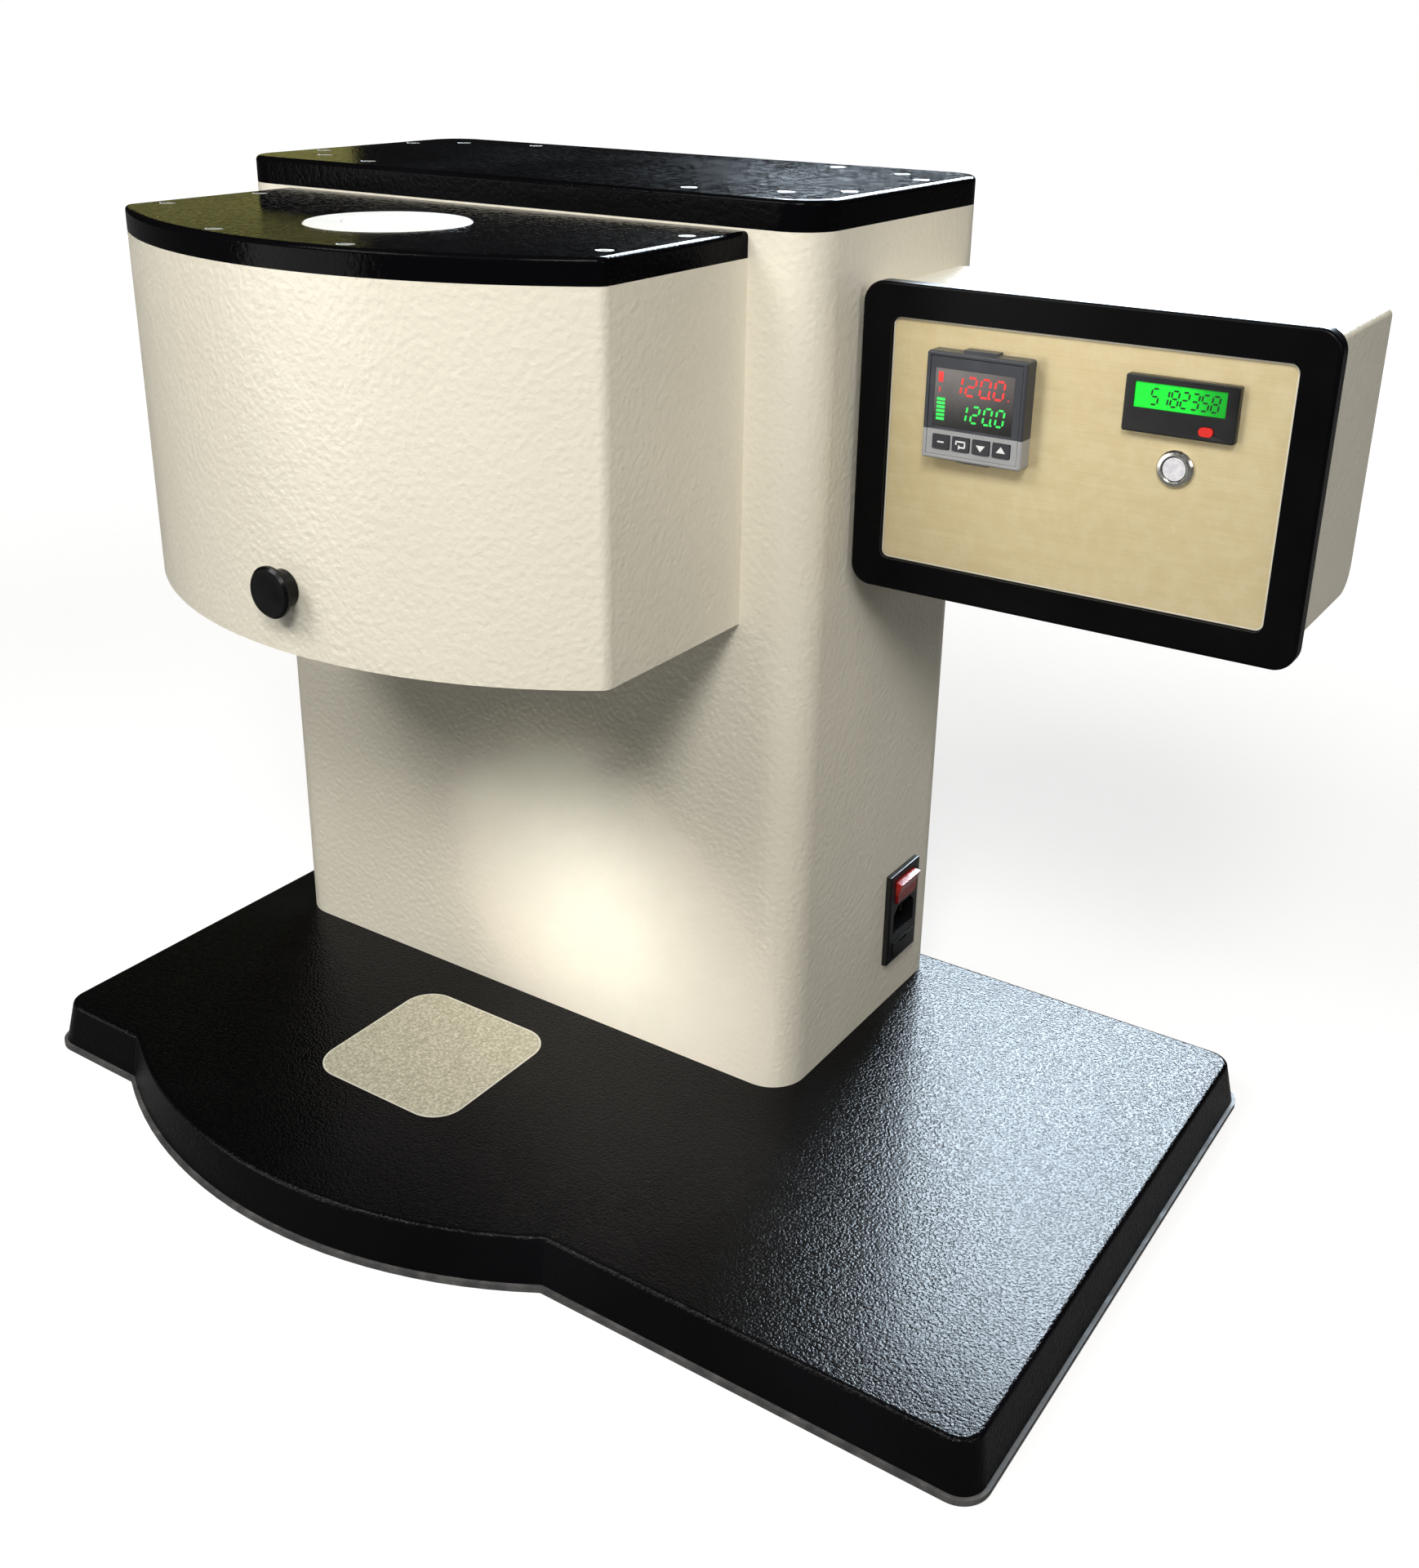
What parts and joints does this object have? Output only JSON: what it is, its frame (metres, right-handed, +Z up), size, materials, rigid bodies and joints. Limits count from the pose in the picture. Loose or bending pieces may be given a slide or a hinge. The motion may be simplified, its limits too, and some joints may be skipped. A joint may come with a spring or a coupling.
{
  "type": "melt flow index tester",
  "caption": "Bench melt flow index tester: cast base, sheet-metal column, bow-fronted furnace head with die release, side control box.",
  "frame": {"origin": "on the bench surface, straight below the furnace barrel's axis", "axes": "+Z up, +Y from the head back to the column, +X towards the control box"},
  "size_m": [0.6026, 0.3829, 0.48],
  "materials": {
    "black_coat": "textured powder coat",
    "sole_grey": "satin",
    "zinc_steel": "zinc plated",
    "stainless": "fine brushed",
    "cream_coat": "orange-peel powder coat",
    "black_plastic": "moulded",
    "aluminium": "plain",
    "grey_plastic": "moulded",
    "brass": "turned",
    "red_plastic": "translucent gloss",
    "fuse_glass": "clear",
    "barrel_steel": "ground",
    "mineral_wool": "fibre wool",
    "white_ceramic": "smooth insulating board",
    "black_gloss": "gloss",
    "champagne_steel": "brushed, warm tint",
    "instrument_grey": "satin moulded",
    "dark_window": "gloss window",
    "green_window": "lit display"
  },
  "bodies": {
    "frame": {"base_casting": "black_coat", "sole_plate": "sole_grey", "sole_screws": "zinc_steel", "catch_plate": "stainless", "column_foot": "zinc_steel", "foot_bolts": "zinc_steel", "column_shell": "cream_coat", "column_cover": "black_coat", "column_cover_screws": "zinc_steel", "rear_panel": "cream_coat", "rear_panel_screws": "zinc_steel", "equipment_plate": "zinc_steel", "power_supply": "black_plastic", "heater_relay": "aluminium", "terminal_block": "grey_plastic", "inlet_housing": "black_plastic", "inlet_pins": "brass", "head_shell": "cream_coat", "head_cover": "black_coat", "head_cover_screws": "zinc_steel", "head_floor": "cream_coat", "barrel_bracket": "zinc_steel", "bracket_bolts": "zinc_steel", "barrel": "barrel_steel", "lower_heater": "aluminium", "upper_heater": "aluminium", "insulation_jacket": "mineral_wool", "temperature_sensor": "stainless", "top_insulator": "white_ceramic", "die": "barrel_steel", "slide_guides": "barrel_steel", "rod_bush": "brass", "control_box": "cream_coat", "box_screws": "zinc_steel", "cable_bush": "black_plastic", "bezel": "black_coat", "front_panel": "champagne_steel", "controller_case": "instrument_grey", "controller_face": "instrument_grey", "controller_window": "dark_window", "controller_clamp": "black_plastic", "counter_case": "black_plastic", "counter_window": "green_window", "button_bushing": "stainless", "button_nut": "stainless"},
    "plug": {"barrel_plug": "white_ceramic"},
    "release": {"die_slide": "barrel_steel", "release_rod": "barrel_steel", "release_knob": "black_gloss"},
    "rocker": {"power_rocker": "red_plastic"},
    "drawer": {"fuse_drawer": "black_plastic", "fuse": "fuse_glass"},
    "set": {"set_key": "instrument_grey"},
    "shift": {"shift_key": "instrument_grey"},
    "down": {"down_key": "instrument_grey"},
    "up": {"up_key": "instrument_grey"},
    "reset": {"reset_button": "red_plastic"},
    "start": {"start_button": "stainless"}
  },
  "joints": [
    {"name": "plug_lift", "type": "slide", "parent": "frame", "child": "plug", "axis": [0, 0, 1], "range_m": [0, 0.035]},
    {"name": "release_pull", "type": "slide", "parent": "frame", "child": "release", "axis": [0, -1, 0], "range_m": [0, 0.02]},
    {"name": "rocker_turn", "type": "hinge", "parent": "frame", "child": "rocker", "pos_m": [0.1786, 0.1965, 0.0995], "axis": [0, -1, 0], "range_deg": [0, 20]},
    {"name": "drawer_pull", "type": "slide", "parent": "frame", "child": "drawer", "axis": [1, 0, 0], "range_m": [0, 0.018]},
    {"name": "set_press", "type": "slide", "parent": "frame", "child": "set", "axis": [0, 1, 0], "range_m": [0, 0.0008], "stiffness_N_per_m": 300, "springref_m": -0.0005},
    {"name": "shift_press", "type": "slide", "parent": "frame", "child": "shift", "axis": [0, 1, 0], "range_m": [0, 0.0008], "stiffness_N_per_m": 300, "springref_m": -0.0005},
    {"name": "down_press", "type": "slide", "parent": "frame", "child": "down", "axis": [0, 1, 0], "range_m": [0, 0.0008], "stiffness_N_per_m": 300, "springref_m": -0.0005},
    {"name": "up_press", "type": "slide", "parent": "frame", "child": "up", "axis": [0, 1, 0], "range_m": [0, 0.0008], "stiffness_N_per_m": 300, "springref_m": -0.0005},
    {"name": "reset_press", "type": "slide", "parent": "frame", "child": "reset", "axis": [0, 1, 0], "range_m": [0, 0.001], "stiffness_N_per_m": 300, "springref_m": -0.0005},
    {"name": "start_press", "type": "slide", "parent": "frame", "child": "start", "axis": [0, 1, 0], "range_m": [0, 0.0015], "stiffness_N_per_m": 500, "springref_m": -0.001}
  ]
}
